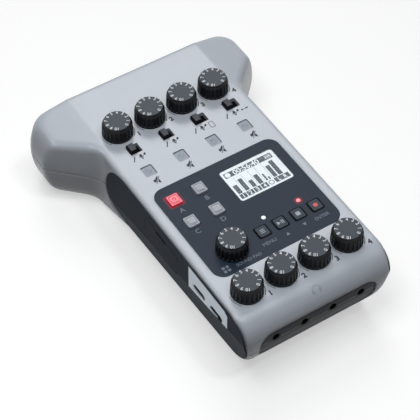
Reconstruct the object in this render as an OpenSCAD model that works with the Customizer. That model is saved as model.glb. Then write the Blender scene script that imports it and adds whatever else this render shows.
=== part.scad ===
// Four-channel podcast recorder, in millimetres.
// X runs to the right, Y from the headphone end to the microphone end, Z up from the table.
// The origin is on the table, under the middle of the overall box.

/* [Housing] */
// Overall width across the shoulders
overall_w = 113.4; // [110:0.2:118]
// Overall depth from the nose to the microphone face
overall_d = 155; // [153:0.5:160]
// Width of the narrow front body
body_w = 74.4; // [73.6:0.2:77]
// Height of the flat top above the table
top_z = 39.2; // [38.8:0.1:40.4]
// Height of the line where the two shells meet
parting_z = 20; // [19:0.5:21]
// Height of the case bottom above the table
base_z = 1; // [0.6:0.1:1.4]
// Wall of the shells
wall = 2; // [1.6:0.1:2.4]
// Roof of the upper shell and floor of the lower one
roof_t = 2.2; // [1.8:0.1:2.4]
// Radius of the nose in side view
nose_r = 12; // [10:0.5:14]
// Rounding along the back top and bottom edges
back_r = 4; // [2:0.2:5]
// Fall of the shoulder tops, in millimetres a millimetre
shoulder_fall = 0.17; // [0.05:0.01:0.25]
// Distance from the centre line to the crease where the shoulders start
crease_x = 34.1; // [32:0.1:34.5]
// Inward lean of the lower sides, in millimetres a millimetre
bevel_slope = 0.22; // [0.1:0.01:0.24]

/* [Side panels] */
// Thickness of the dark side panels
cheek_t = 1.6; // [1.2:0.1:1.8]
// Clearance round a side panel in its recess
cheek_gap = 0.12; // [0.08:0.01:0.25]
// Length of the adapter cover
cover_l = 26; // [22:0.5:28]
// Height of the adapter cover
cover_h = 13; // [10:0.5:14]
// Length of the port plate
plate_l = 30; // [26:0.5:31]

/* [Fascia] */
// Width of the dark fascia
fascia_w = 63.9; // [60:0.1:66]
// Depth of the dark fascia
fascia_d = 55.9; // [54:0.1:57]
// Distance from the nose to the front edge of the fascia
fascia_front = 28.1; // [27:0.1:29]
// Thickness of the fascia
fascia_t = 1.2; // [1:0.1:1.4]
// Corner radius of the fascia
fascia_r = 5.5; // [3:0.5:7]
// Width of the display window
display_w = 27.4; // [24:0.1:28]
// Depth of the display window
display_d = 19.2; // [17:0.1:20]

/* [Controls] */
// Pitch of the four channels
channel_pitch = 16.8; // [16.4:0.1:17.4]
// Distance from the microphone face to the gain knobs
gain_from_back = 32.4; // [31:0.1:33]
// Distance from the nose to the headphone volume knobs
volume_from_front = 17.5; // [17:0.1:18.5]
// Height of a knob above the top
knob_h = 7.8; // [7:0.1:9]
// Diameter of a knob at its skirt
knob_d = 14.3; // [13:0.1:14.6]
// Diameter of a knob shaft
shaft_d = 6; // [5:0.1:6.2]
// Number of grooves round a knob
knob_grooves = 22; // [12:1:26]
// Width of a mute key
mute_w = 5.2; // [4.4:0.1:5.6]
// Depth of a mute key
mute_d = 5.9; // [5:0.1:6.2]
// Width of a sound pad
pad_w = 5.6; // [5:0.1:6]
// Width of a transport key
key_w = 5; // [4.4:0.1:5.4]
// Travel of the keys and pads
key_travel = 0.45; // [0.3:0.05:0.45]
// Width of an input switch lever
lever_w = 3.5; // [3:0.1:3.7]
// Travel between two positions of an input switch
lever_step = 1.6; // [1.2:0.1:1.7]

/* [Sockets] */
// Pitch of the microphone sockets
mic_pitch = 26; // [25.6:0.1:26.4]
// Height of the microphone socket centres
mic_z = 19.8; // [19:0.1:20.5]
// Outer diameter of a microphone socket
mic_d = 23; // [22:0.1:23.4]
// Diameter of the mouth that takes the plug
mic_mouth_d = 19.4; // [19:0.1:19.8]
// Pitch of the headphone jacks
jack_pitch = 14.4; // [13.5:0.1:15]
// Bore of a 3.5 mm jack
jack_bore = 3.6; // [3.5:0.05:3.8]
// Outer diameter of a jack nose
jack_nose_d = 5.2; // [4.8:0.1:6]

/* [Inside] */
// Height of the upper face of the main board
board_top = 30.2; // [29.6:0.1:30.4]
// Thickness of the circuit boards
board_t = 1.6; // [1:0.1:1.8]
// Diameter of an AA cell
cell_d = 14.2; // [13.8:0.1:14.4]
// Length of an AA cell without its nub
cell_l = 49.2; // [48:0.1:49.6]
// Travel of the battery door
door_travel = 3; // [2:0.1:3.2]

/* [Hidden] */

// Clearances
gap = 0.3;
slip = 0.05;
key_gap = 0.2;
ROUND = 48;
EPS = 0.01;

// Overall levels
front_y = -overall_d / 2;
back_y = overall_d / 2;
half_w = overall_w / 2;
side_x = body_w / 2;
roof_z = top_z - roof_t;
floor_z = base_z + roof_t;
nose_z = top_z - nose_r;
nose_low = 20;
foot_z = 0;

// How far each part of the outline steps in over the height of the case
side_top_in = 6.5;
side_low_in = 9;
diag_low_in = 7;
ridge_lean = 1.5;
ridge_r = 3;
rim_r = 1.8;
sole_r = 2;
side_wall = cheek_t + 1.4;

// Corner radii seen from above
back_corner_r = 7.5;
front_shoulder_r = 4.5;
neck_r = 14;
front_corner_r = 3;
// Distance that the diagonal wall stands off from the line through the centre of the box
diag_offset = 2.2;
neck_y = 33;

// Lower edge of the flat side face, which rises towards the nose
bevel_back_z = 15;
bevel_rise = 0.1325;
bevel_from_y = 20.5;

function clamp01(t) = min(1, max(0, t));
function quarter_in(h, r) = r - sqrt(max(0, r * r - h * h));
function oval_in(h, a, b) = a * (1 - sqrt(1 - pow(clamp01(h / b), 2)));
function bevel_z(y) = bevel_back_z + bevel_rise * (bevel_from_y - y);

function side_in(z) = z > parting_z
    ? oval_in(z - parting_z, side_top_in, top_z - parting_z)
    : oval_in(parting_z - z, side_low_in, parting_z - base_z);
function diag_in(z) = z > parting_z
    ? ridge_lean * pow((z - parting_z) / (top_z - parting_z), 2)
        + quarter_in(max(0, z - top_z + ridge_r), ridge_r)
    : oval_in(parting_z - z, diag_low_in, parting_z - base_z);
function back_in(z) = quarter_in(max(0, z - top_z + back_r, base_z + back_r - z), back_r);
function front_in(z) = z > nose_z
    ? quarter_in(z - nose_z, nose_r)
    : oval_in(nose_z - z, nose_low, nose_z - base_z);
function neck_x(z) = body_w / 2
    - quarter_in(max(0, z - top_z + rim_r), rim_r)
    - quarter_in(max(0, base_z + sole_r - z), sole_r);
function body_x(z, y) = neck_x(z) - bevel_slope * max(0, bevel_z(y) - z);
function fall(x, y, z) = shoulder_fall * max(0, abs(x) - crease_x)
    * clamp01((y - neck_y) / nose_r) * clamp01((z - parting_z) / (top_z - parting_z));

function arc(cx, cy, r, a0, a1, n) =
    [for (i = [0:n]) let (a = a0 + (a1 - a0) * i / n) [cx + r * cos(a), cy + r * sin(a)]];

// Left half of the outline at height z, drawn in by t, or by ts along the narrow body
function half_ring(z, t, ts) = let (
        ws = half_w - side_in(z) - t,
        by = back_y - back_in(z) - t,
        c = diag_offset + sqrt(2) * (diag_in(z) + t),
        fy = front_y + front_in(z) + t,
        rb = back_corner_r - t,
        rs = front_shoulder_r - min(t, 2),
        rc = neck_r + t,
        rf = front_corner_r - t / 2,
        bend = tan(22.5),
        xn = neck_x(z) - ts,
        xf = body_x(z, fy + rf) - ts)
    concat(
        [[-crease_x, by]],
        arc(-ws + rb, by - rb, rb, 90, 180, 8),
        arc(-ws + rs, c + ws + bend * rs, rs, 180, 225, 5),
        arc(-xn - rc, c + xn - bend * rc, rc, 45, 0, 7),
        [for (y = [22, 8, -6, -20, -34, -48]) [-body_x(z, y) + ts, y]],
        arc(-xf + rf, fy + rf, rf, 180, 270, 7));
function flip_x(pts) = [for (i = [len(pts) - 1:-1:0]) [-pts[i][0], pts[i][1]]];
function ring(z, t = 0, ts = 0) = let (h = half_ring(z, t, ts))
    [for (p = concat(h, [[0, front_y + front_in(z) + t]], flip_x(h)))
        [p[0], p[1], z - fall(p[0], p[1], z)]];

// A shell from a run of rings: closed at both ends, and continuous between them
module ring_solid(rings, apex_y) {
    n = len(rings[0]);
    m = 24;
    last = len(rings) - 1;
    front = (n - 1) / 2;
    base = n * len(rings);
    z0 = rings[0][front][2];
    z1 = rings[last][front][2];
    x0 = min(crease_x, abs(rings[0][m][0]) - 1);
    x1 = min(crease_x, abs(rings[last][m][0]) - 1);
    apexes = [[-x0, apex_y, z0], [x0, apex_y, z0], [-x1, apex_y, z1], [x1, apex_y, z1]];
    points = concat([for (r = rings) each r], apexes);
    side = [for (k = [0:last - 1]) for (j = [0:n - 1])
        let (a = k * n + j, b = k * n + (j + 1) % n) each [[a, b, b + n], [a, b + n, a + n]]];
    // A cap is a fan from each shoulder's apex and one from the front for the flat middle
    function cap(o, al, ar) = let (
            middle = concat([for (j = [front + 1:n - 1 - m]) o + j], [ar, o + n - 1, o, al],
                [for (j = [m:front - 1]) o + j]))
        concat(
            [for (j = [0:m - 1]) [al, o + j, o + j + 1]],
            [for (j = [n - 1 - m:n - 2]) [ar, o + j, o + j + 1]],
            [for (j = [0:len(middle) - 2]) [o + front, middle[j], middle[j + 1]]]);
    first = [for (f = cap(0, base, base + 1)) [f[2], f[1], f[0]]];
    end = cap(last * n, base + 2, base + 3);
    polyhedron(points, concat(first, side, end));
}
// Heights of the rings, closer together where the section curves
function levels(a, b, n, ease) = [for (i = [0:n]) a + (b - a) * (1 - pow(1 - i / n, ease))];

// Side profile of the dark panel, drawn in by d from its recess
leaf_rim = 1.2;
leaf_tip = 36.5;
leaf_y = 20;
function leaf(d) = let (
        rim = leaf_rim + d,
        tip = leaf_tip - leaf_y - d,
        low = base_z + 1.8 + d,
        high = top_z - 1.6 - d)
    concat(
    [for (a = [0:9:90]) [front_y + nose_r - (nose_r - rim) * sin(a), nose_z + (nose_r - rim) * cos(a)]],
    [for (a = [9:9:90]) [front_y + nose_low - (nose_low - rim) * cos(a), nose_z - (nose_z - low) * sin(a)]],
    [for (a = [-90:12:90]) [leaf_y + tip * cos(a), (high + low) / 2 + (high - low) / 2 * sin(a)]]);

// Everything inside the side faces of the body, drawn in by d
module inside_faces(d) {
    reach = 2 * overall_d;
    x = body_w / 2 - d;
    lean = atan(bevel_slope);
    difference() {
        translate([-x, front_y - 5, -5])
            cube([2 * x, overall_d + 10, top_z + 10]);
        for (s = [-1, 1])
            translate([s * x, bevel_from_y, bevel_back_z])
                rotate([atan(-bevel_rise), 0, 0])
                    rotate([0, s * lean, 0])
                        translate([s > 0 ? 0 : -50, -reach / 2, -80])
                            cube([50, reach, 80]);
    }
}
module leaf_prism(d) {
    translate([-half_w, 0, 0])
        rotate([90, 0, 90])
            linear_extrude(overall_w)
                polygon(leaf(d));
}
// Recesses for both side panels
module cheek_recess() {
    difference() {
        leaf_prism(0);
        inside_faces(cheek_t + cheek_gap / 2);
    }
}
module cheek(s) {
    intersection() {
        translate([s > 0 ? 0 : -half_w, front_y, 0])
            cube([half_w, overall_d, top_z]);
        difference() {
            intersection() {
                leaf_prism(cheek_gap);
                inside_faces(0);
            }
            inside_faces(cheek_t);
        }
    }
}

// Flat outlines
function round_points(w, h, r) = concat(
    arc(w / 2 - r, h / 2 - r, r, 0, 90, 8), arc(-w / 2 + r, h / 2 - r, r, 90, 180, 8),
    arc(-w / 2 + r, -h / 2 + r, r, 180, 270, 8), arc(w / 2 - r, -h / 2 + r, r, 270, 360, 8));
module slab(w, h, r, z0, z1) {
    translate([0, 0, z0])
        linear_extrude(z1 - z0)
            polygon(round_points(w, h, r));
}
module rod(d, z0, z1) {
    translate([0, 0, z0])
        cylinder(d = d, h = z1 - z0, $fn = ROUND);
}
module cone(r0, r1, z0, z1) {
    translate([0, 0, z0])
        cylinder(r1 = r0, r2 = r1, h = z1 - z0, $fn = ROUND);
}
// A rod along X or Y
module rod_x(d, x0, x1) {
    translate([x0, 0, 0])
        rotate([0, 90, 0])
            cylinder(d = d, h = x1 - x0, $fn = ROUND);
}
module rod_y(d, y0, y1) {
    translate([0, y1, 0])
        rotate([90, 0, 0])
            cylinder(d = d, h = y1 - y0, $fn = ROUND);
}

// Places of the controls
function channel_x(i) = (i - 1.5) * channel_pitch;
gain_y = back_y - gain_from_back;
volume_y = front_y + volume_from_front;
fascia_y = front_y + fascia_front + fascia_d / 2;
// Least distances from the gain knobs to the switches, on to the mute keys and on to the fascia.
// What is spare is shared out between them.
switch_least = 9.9;
mute_least = 8;
edge_least = 6;
spare = gain_y - (fascia_y + fascia_d / 2) - switch_least - mute_least - edge_least;
switch_y = gain_y - switch_least - 0.17 * spare;
mute_y = switch_y - mute_least - 0.435 * spare;
pad_knob_x = -18.4;
pad_knob_y = fascia_y - 16.7;
pad_xs = [-24.8, -12];
pad_ys = [fascia_y + 19.1, fascia_y + 5.1];
pad_d = 6;
pad_top = top_z + 0.9;
display_x = 13.4;
display_y = fascia_y + 12.6;
key_xs = [-2.2, 6.9, 16, 25.1];
key_y = fascia_y - 15.6;
key_d = 5.4;
key_rim = 0.4;
lamp_xs = [2.4, 20.4];
lamp_y = fascia_y - 9.4;
lamp_d = 2;

// Heights of the controls
fascia_z = top_z - fascia_t;
fascia_ledge = 1.6;
pot_h = 6.2;
bushing_d = 7;
knob_z = top_z + gap;
knob_top = top_z + knob_h;
key_flange_t = 0.8;
post_gap = key_travel + gap;
tact_top = board_top + 3.7;
board_z = board_top - board_t;

// Screw posts: two in the shoulders, two in the neck and one between the headphone jacks
post_d = 5.6;
screw_d = 2.2;
shoulder_post = [channel_x(3) + 11.3, back_y - 27];
neck_post = [side_x - 6.4, switch_y - 6.7];
posts = [[-shoulder_post[0], shoulder_post[1]], shoulder_post, [-neck_post[0], neck_post[1]], neck_post,
    [0, front_y + 16.5]];
post_z = board_top + 0.4;
// Short supports under the main board
supports = [[20, back_y - 37.5], [24, front_y + 52.5], [jack_pitch, front_y + 16]];
board_w = body_w - 8.4;
board_front = front_y + 8.5;
board_back = back_y - 23.5;

// Battery compartment
cell_pitch = cell_d + 0.8;
bay_l = cell_l + 6.6;
bay_w = 2 * cell_d + 3.2;
bay_y = 3;
bay_wall = 1.4;
bay_h = 15.2;
door_t = roof_t;
door_w = bay_w - 2;
door_l = bay_l - 2;
cell_z = base_z + door_t + gap + cell_d / 2;

// Side features
cover_y = front_y + 66.5;
cover_z = 24.6;
cover_t = 1.4;
plate_y = front_y + 28.8;
usb_y = [plate_y + 6.6, plate_y - 6.6];
usb_z = board_z - 1.7;
switch_side_y = 4;
phone_y = -15;
side_z = 25.4;
card_y = front_y + 35;
card_l = 28;
card_h = 5.2;
card_z = 25.5;
// Length of a cut through a side wall
cut_l = 8;

// Headphone end
jack_z = board_z - 4;
// The dark strip follows the nose, set back by bezel_in
bezel_in = 0.5;
bezel_y = front_y + bezel_in;
bezel_t = 1.5;
bezel_w = 59;
bezel_top = 29.4;
bezel_low = 13;
jack_body_l = 12.5;

module for_knobs() {
    for (i = [0:3]) {
        translate([channel_x(i), gain_y, 0])
            children();
        translate([channel_x(i), volume_y, 0])
            children();
    }
}
function switch_positions(i) = i < 2 ? 2 : 3;
function lever_travel(i) = lever_step * (switch_positions(i) - 1) + (i < 2 ? 0.5 : 0);
lever_d = 5;
function window_w(i) = lever_w + lever_travel(i) + 2 * key_gap;
foot_d = 8;
feet_at = [[side_x - 13.2, front_y + 26], [half_w - 18.7, back_y - 18]];

// Outline of the headphone recess, looking at the nose
module front_slot(grow, y0, y1) {
    translate([0, y1, (bezel_top + bezel_low) / 2])
        rotate([90, 0, 0])
            linear_extrude(y1 - y0)
                polygon(round_points(bezel_w + 2 * grow, bezel_top - bezel_low + 2 * grow, 6));
}
// Holes that both shells share
module shared_cuts() {
    cheek_recess();
    for (i = [-1.5:1:1.5])
        translate([i * mic_pitch, 0, mic_z])
            rod_y(mic_d + 2 * slip, back_y - 6, back_y + 1);
    front_slot(slip, front_y - 1, front_y + 7);
    for (i = [-1.5:1:1.5])
        translate([i * jack_pitch, 0, jack_z])
            rod_y(jack_nose_d + 2 * gap, bezel_y, bezel_y + 8);
    side_cuts();
}
module side_cuts() {
    // The adapter bay, both sockets and the right-hand openings go through the side walls
    translate([-side_x - 1, cover_y - cover_l / 2 + 2, cover_z - cover_h / 2 + 2])
        cube([cut_l, cover_l - 4, cover_h - 4]);
    for (y = usb_y)
        translate([-side_x - 1, y - 5, usb_z - 2])
            cube([cut_l, 10, 4]);
    translate([side_x + 1 - cut_l, 0, 0]) {
        translate([0, switch_side_y - 5, side_z - 2])
            cube([cut_l, 10, 4]);
        translate([0, phone_y, side_z])
            rod_x(jack_nose_d + 2 * gap, 0, cut_l);
        translate([0, card_y - card_l / 2 + 1.5, card_z - card_h / 2 + 0.6])
            cube([cut_l, card_l - 3, card_h - 1.2]);
    }
}

module top_shell() color([0.78, 0.79, 0.81]) {
    outer = [for (z = levels(parting_z, top_z, 12, 2.4)) ring(z)];
    inner = [for (z = levels(parting_z, roof_z, 3, 1.4)) ring(z, wall, side_wall)];
    difference() {
        union() {
            ring_solid(concat([for (i = [len(outer) - 1:-1:0]) outer[i]], inner), gain_y + 1.4);
            for (p = posts)
                translate([p[0], p[1], 0])
                    rod(post_d, post_z, roof_z - fall(p[0], p[1], top_z) + EPS);
        }
        shared_cuts();
        translate([0, fascia_y, 0]) {
            slab(fascia_w + 2 * slip, fascia_d + 2 * slip, fascia_r, fascia_z, top_z + 1);
            slab(fascia_w - 2 * fascia_ledge, fascia_d - 2 * fascia_ledge, fascia_r - 1, roof_z - 1, top_z);
        }
        for_knobs()
            rod(bushing_d + 2 * gap, roof_z - 1, top_z + 1);
        for (i = [0:3]) {
            translate([channel_x(i) - lever_w / 2 - key_gap + window_w(i) / 2, switch_y, 0])
                slab(window_w(i), lever_d + 2 * key_gap, 0.5, roof_z - 1, top_z + 1);
            translate([channel_x(i), mute_y, 0])
                slab(mute_w + 2 * key_gap, mute_d + 2 * key_gap, 0.8, roof_z - 1, top_z + 1);
        }
        for (p = posts)
            translate([p[0], p[1], 0])
                rod(screw_d, post_z - 1, roof_z - 1.4);
    }
}

module bottom_shell() color([0.60, 0.62, 0.66]) {
    outer = [for (z = levels(parting_z, base_z, 9, 2.2)) ring(z)];
    inner = [for (z = levels(parting_z, floor_z, 4, 1.8)) ring(z, wall, side_wall)];
    difference() {
        union() {
            ring_solid(concat([for (i = [len(inner) - 1:-1:0]) inner[i]], outer), gain_y + 5);
            for (p = posts)
                translate([p[0], p[1], 0])
                    rod(post_d, floor_z - EPS, post_z);
            for (s = [-1, 1]) {
                for (p = supports)
                    translate([s * p[0], p[1], 0])
                        rod(4, floor_z - EPS, board_z);
            }
            translate([0, bay_y, 0])
                difference() {
                    union() {
                        slab(bay_l + 2 * bay_wall, bay_w + 2 * bay_wall, 2, floor_z - EPS, base_z + bay_h);
                        // Roof of the pocket that the door slides into
                        translate([0, door_w / 2 + door_travel, 0])
                            slab(door_l + 4, 2 * door_travel, 1, floor_z - EPS, floor_z + gap + 1.2);
                    }
                    slab(bay_l, bay_w, 0.8, floor_z - 1, base_z + bay_h + 1);
                }
        }
        shared_cuts();
        // Opening of the battery bay, with the thumb recess that the door slides into
        translate([0, bay_y, 0])
            slab(door_l + 2 * gap, door_w + 2 * gap, 1, base_z - 1, floor_z + 1);
        translate([0, bay_y + door_travel, 0])
            slab(door_l + 2 * gap, door_w + 2 * gap, 1, base_z - 1, floor_z + gap);
        for (p = posts)
            translate([p[0], p[1], 0]) {
                rod(screw_d + 0.8, base_z - 1, post_z + 1);
                rod(4.6, base_z - 1, floor_z + 1.5);
            }
        for_feet()
            rod(foot_d + 2 * slip, base_z - 1, base_z + 0.6);
    }
}

module left_cheek() color([0.14, 0.16, 0.19]) {
    difference() {
        cheek(-1);
        // Pocket and opening of the adapter cover
        translate([-side_x - 1, cover_y, cover_z])
            side_slab(cover_l + 2 * slip, cover_h + 2 * slip, 2, 0, 1 + cheek_t + gap);
        // Seat of the port plate, and the sockets' openings
        port_outline(slip, 0.5);
        for (y = usb_y)
            translate([-side_x - 1, y - 4.7, usb_z - 1.85])
                cube([8, 9.4, 3.7]);
    }
}
// A rounded plate in the YZ plane, from x0 to x1
module side_slab(l, h, r, x0, x1) {
    translate([x0, 0, 0])
        rotate([90, 0, 90])
            linear_extrude(x1 - x0)
                polygon(round_points(l, h, r));
}
module port_outline(grow, depth) {
    y0 = plate_y + plate_l / 2 + grow;
    y1 = plate_y - plate_l / 2 - grow;
    translate([-side_x - 1, 0, 0])
        rotate([90, 0, 90])
            linear_extrude(1 + depth)
                polygon([[y0, bevel_z(y0) - grow], [y1, bevel_z(y1) - grow], [y1, top_z - 5 + grow],
                    [y1 + 2.4, top_z - 3.4 + grow], [y0, top_z - 3.4 + grow]]);
}
module port_plate() color([0.66, 0.72, 0.78]) {
    difference() {
        intersection() {
            port_outline(0, 0.5);
            inside_faces(-0.05);
        }
        for (y = usb_y)
            translate([-side_x - 2, y, usb_z])
                side_slab(usb_w + gap, usb_h + gap, usb_h / 2 + 0.1, 0, 4);
    }
}
usb_w = 8.9;
usb_h = 3.2;
usb_skin = 0.3;
module usb_sockets() color([0.55, 0.57, 0.60]) {
    for (y = usb_y)
        translate([0, y, usb_z]) {
            difference() {
                translate([-side_x + 0.7, 0, 0])
                    side_slab(usb_w, usb_h, usb_h / 2 - 0.05, 0, 8);
                translate([-side_x, 0, 0])
                    side_slab(usb_w - 2 * usb_skin, usb_h - 2 * usb_skin, usb_h / 2 - 0.05 - usb_skin, 0, 7.4);
            }
            translate([-side_x + 1.6, -3.3, -0.35])
                cube([6, 6.6, 0.7]);
        }
}
module adapter_cover() color([0.16, 0.18, 0.21]) {
    translate([-side_x, cover_y, cover_z]) {
        difference() {
            side_slab(cover_l - 2 * slip, cover_h - 2 * slip, 2, 0, cover_t);
            // Groove for a fingernail
            translate([-1, -3.9, cover_h / 2 - 1.1])
                cube([1.8, 7.8, 2]);
        }
        // Two tongues that clip behind the side wall
        for (s = [-1, 1])
            translate([cover_t - EPS, s * (cover_l / 2 - 5) - 2, -cover_h / 2 + 2.4])
                cube([3.4, 4, 1.2]);
    }
}
module adapter_socket() color([0.08, 0.08, 0.09]) {
    translate([-side_x + cover_t + 4.2, cover_y, 0]) {
        difference() {
            translate([0, -6.5, cover_z - 2.6])
                cube([7, 13, board_z - cover_z + 2.6]);
            translate([-1, -5.2, cover_z - 1.4])
                cube([5, 10.4, 2.8]);
        }
    }
}
module right_cheek() color([0.14, 0.16, 0.19]) {
    difference() {
        cheek(1);
        translate([side_x - 5, switch_side_y - 4.2, side_z - 1.9])
            cube([8, 8.4, 3.8]);
        translate([0, phone_y, side_z])
            rod_x(jack_nose_d + 2 * slip, side_x - 5, side_x + 1);
        translate([side_x - 5, card_y, card_z])
            side_slab(card_l + 2 * gap, card_h + 2 * gap, 0.8, 0, 8);
        translate([hinge_x, card_y, hinge_z])
            rod_y(hinge_pin_d + 2 * slip, -card_l / 2 - hinge_pin_l - gap, card_l / 2 + hinge_pin_l + gap);
    }
}
module power_switch() color([0.30, 0.32, 0.35]) {
    translate([side_x - 1.2, switch_side_y, side_z])
        difference() {
            union() {
                side_slab(3.8, 3.2, 0.5, 0, 1.9);
                translate([-3.6, -0.8, -0.6])
                    cube([3.7, 1.6, 1.2]);
            }
            for (y = [-1.1, 0, 1.1])
                translate([1.6, y - 0.2, -2])
                    cube([1, 0.4, 4]);
        }
}
module power_switch_body() color([0.45, 0.46, 0.48]) {
    x = side_x - 6.9;
    translate([x, switch_side_y, 0])
        difference() {
            translate([-2.4, -4.4, side_z - 2])
                cube([4.2, 8.8, board_z - side_z + 2]);
            translate([-0.6, -3.3, side_z - 0.9])
                cube([4, 6.6, 1.8]);
        }
}
// Cover of the card slot, on two pins along its lower edge
hinge_z = card_z - card_h / 2 + 0.7;
hinge_x = side_x - 0.75;
hinge_pin_d = 0.8;
hinge_pin_l = 1.2;
module card_cover() color([0.16, 0.18, 0.21]) {
    translate([side_x - 1.4, card_y, 0]) {
        translate([0, -card_l / 2 + 0.1, hinge_z])
            cube([1.4, card_l - 0.2, card_z + card_h / 2 - hinge_z]);
        translate([1.4 - 0.75, 0, hinge_z]) {
            rod_y(1.4, -card_l / 2 + 0.1, card_l / 2 - 0.1);
            rod_y(hinge_pin_d, -card_l / 2 - hinge_pin_l, card_l / 2 + hinge_pin_l);
        }
    }
}
module card_socket() color([0.62, 0.64, 0.66]) {
    translate([side_x - side_wall - 22.8, card_y - 13, card_z - 1.4])
        difference() {
            cube([22, 26, board_z - card_z + 1.4]);
            translate([2, 0.9, 0.4])
                cube([22, 24.2, 2.2]);
        }
}
module phone_jack() color([0.10, 0.10, 0.11]) {
    translate([0, phone_y, side_z]) {
        difference() {
            union() {
                rod_x(jack_nose_d, side_x - 5, side_x - 0.2);
                translate([side_x - 17, -3.2, -3])
                    cube([12, 6.4, board_z - side_z + 3]);
            }
            rod_x(jack_bore, side_x - 15.2, side_x + 1);
        }
    }
}

module fascia() color([0.21, 0.25, 0.30]) {
    difference() {
        translate([0, fascia_y, 0])
            slab(fascia_w - 2 * slip, fascia_d - 2 * slip, fascia_r, fascia_z, top_z);
        translate([display_x, display_y, 0])
            slab(display_w + 2 * slip, display_d + 2 * slip, 1.4, fascia_z - 1, top_z + 1);
        translate([pad_knob_x, pad_knob_y, 0])
            rod(bushing_d + 2 * gap, fascia_z - 1, top_z + 1);
        for (x = pad_xs)
            for (y = pad_ys)
                translate([x, y, 0])
                    slab(pad_w + 2 * key_gap, pad_d + 2 * key_gap, 0.9, fascia_z - 1, top_z + 1);
        for (x = key_xs)
            translate([x, key_y, 0])
                slab(key_w + 2 * key_rim, key_d + 2 * key_rim, 1, fascia_z - 1, top_z + 1);
        for (x = lamp_xs)
            translate([x, lamp_y, 0])
                rod(lamp_d + 2 * slip, fascia_z - 1, top_z + 1);
    }
}
module display_window() color([0.90, 0.96, 0.98, 0.4]) {
    translate([display_x, display_y, 0])
        slab(display_w, display_d, 1.3, fascia_z, top_z);
}
module lcd_module() color([0.85, 0.90, 0.92]) {
    translate([display_x, display_y, 0]) {
        slab(display_w + 3.2, display_d + 4, 0.6, fascia_z - 3.2, fascia_z);
        for (x = [-10, 10])
            translate([x, 0, 0])
                slab(3, display_d, 0.5, board_top, fascia_z - 3.2 + EPS);
    }
}
module lamp(x) {
    translate([x, lamp_y, 0]) {
        rod(lamp_d, fascia_z - 0.2, top_z + 0.1);
        rod(3, board_top, fascia_z - 0.1);
    }
}
module play_lamp() color([0.90, 0.92, 0.95])
    lamp(lamp_xs[0]);
module record_lamp() color([0.85, 0.45, 0.50])
    lamp(lamp_xs[1]);

// A knob with the potentiometer shaft that it is pressed on: a plain core stands above a ring of lobes
module knob() {
    skirt_r = knob_d / 2;
    lobe_r = skirt_r - 0.3;
    core_r = skirt_r - 1;
    lobe_z = knob_top - 1.9;
    groove_d = 0.95;
    chamfer = 0.3;
    hub_r = shaft_d / 2 + 1.2;
    bore_top = knob_top - 2.4;
    difference() {
        union() {
            rod(2 * core_r, knob_z, knob_top - chamfer);
            cone(core_r, core_r - chamfer, knob_top - chamfer - EPS, knob_top);
            difference() {
                union() {
                    cone(skirt_r, lobe_r, knob_z, lobe_z);
                    cone(lobe_r, core_r + 0.05, lobe_z - EPS, lobe_z + 0.9);
                }
                for (i = [0:knob_grooves - 1])
                    rotate([0, 0, (i + 0.5) * 360 / knob_grooves])
                        translate([lobe_r + 0.1, 0, knob_z + 0.6])
                            cylinder(d = groove_d, h = knob_h, $fn = 16);
            }
        }
        // Hollow underside round the hub
        difference() {
            rod(2 * core_r - 1.6, knob_z - 1, knob_top - 2);
            rod(2 * hub_r, knob_z - 2, knob_top);
        }
        rod(shaft_d + 0.04, knob_z - 1, bore_top);
    }
    difference() {
        rod(shaft_d, board_top + 1.2, bore_top);
        // Flat of the shaft
        translate([shaft_d / 2 - 1.2, -shaft_d / 2, knob_z + 1])
            cube([2, shaft_d, knob_top]);
    }
}
module gain_knob(i) color([0.06, 0.07, 0.08])
    translate([channel_x(i), gain_y, 0])
        knob();
module volume_knob(i) color([0.06, 0.07, 0.08])
    translate([channel_x(i), volume_y, 0])
        knob();
module pad_volume_knob() color([0.06, 0.07, 0.08])
    translate([pad_knob_x, pad_knob_y, 0])
        knob();

module potentiometer() {
    difference() {
        union() {
            slab(9.6, 10.6, 0.6, board_top, board_top + pot_h);
            rod(bushing_d, board_top + pot_h - EPS, top_z);
        }
        rod(shaft_d + 2 * slip, board_top + 0.9, top_z + 1);
    }
}
module potentiometers() color([0.50, 0.51, 0.53]) {
    for_knobs()
        potentiometer();
    translate([pad_knob_x, pad_knob_y, 0])
        potentiometer();
}

// A ridge along Y whose sides lean in towards the top
module taper(w, l, z0, z1) {
    lean = 0.35 * (z1 - z0);
    translate([0, l / 2, 0])
        rotate([90, 0, 0])
            linear_extrude(l)
                polygon([[-w / 2, z0], [w / 2, z0], [w / 2 - lean, z1], [lean - w / 2, z1]]);
}
// An input switch: the lever, the shutter that hides the opening, and the stem
module input_switch(i) color([0.13, 0.14, 0.16]) {
    translate([channel_x(i), switch_y, 0]) {
        slab(lever_w, lever_d, 0.4, roof_z - 0.4, top_z + 0.9);
        intersection() {
            taper(lever_w, lever_d + 2, top_z + 0.9 - EPS, top_z + 2.1);
            rotate([0, 0, 90])
                taper(lever_d, lever_w + 2, top_z + 0.9 - EPS, top_z + 2.1);
        }
        slab(2 * window_w(i) - lever_w - key_gap, lever_d + 2, 0.6, roof_z - 1, roof_z - 0.4 + EPS);
        slab(1.4, 1.8, 0.3, board_top + 2.2, roof_z - 1 + EPS);
    }
}
module input_switch_bodies() color([0.55, 0.56, 0.58]) {
    for (i = [0:3]) {
        travel = lever_travel(i);
        translate([channel_x(i) + travel / 2, switch_y, 0])
            difference() {
                slab(travel + 4.4, 5, 0.4, board_top, roof_z - 1 - gap);
                slab(travel + 1.4 + 2 * gap, 1.8 + 2 * gap, 0.3, board_top + 1.6, roof_z);
            }
    }
}

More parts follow.
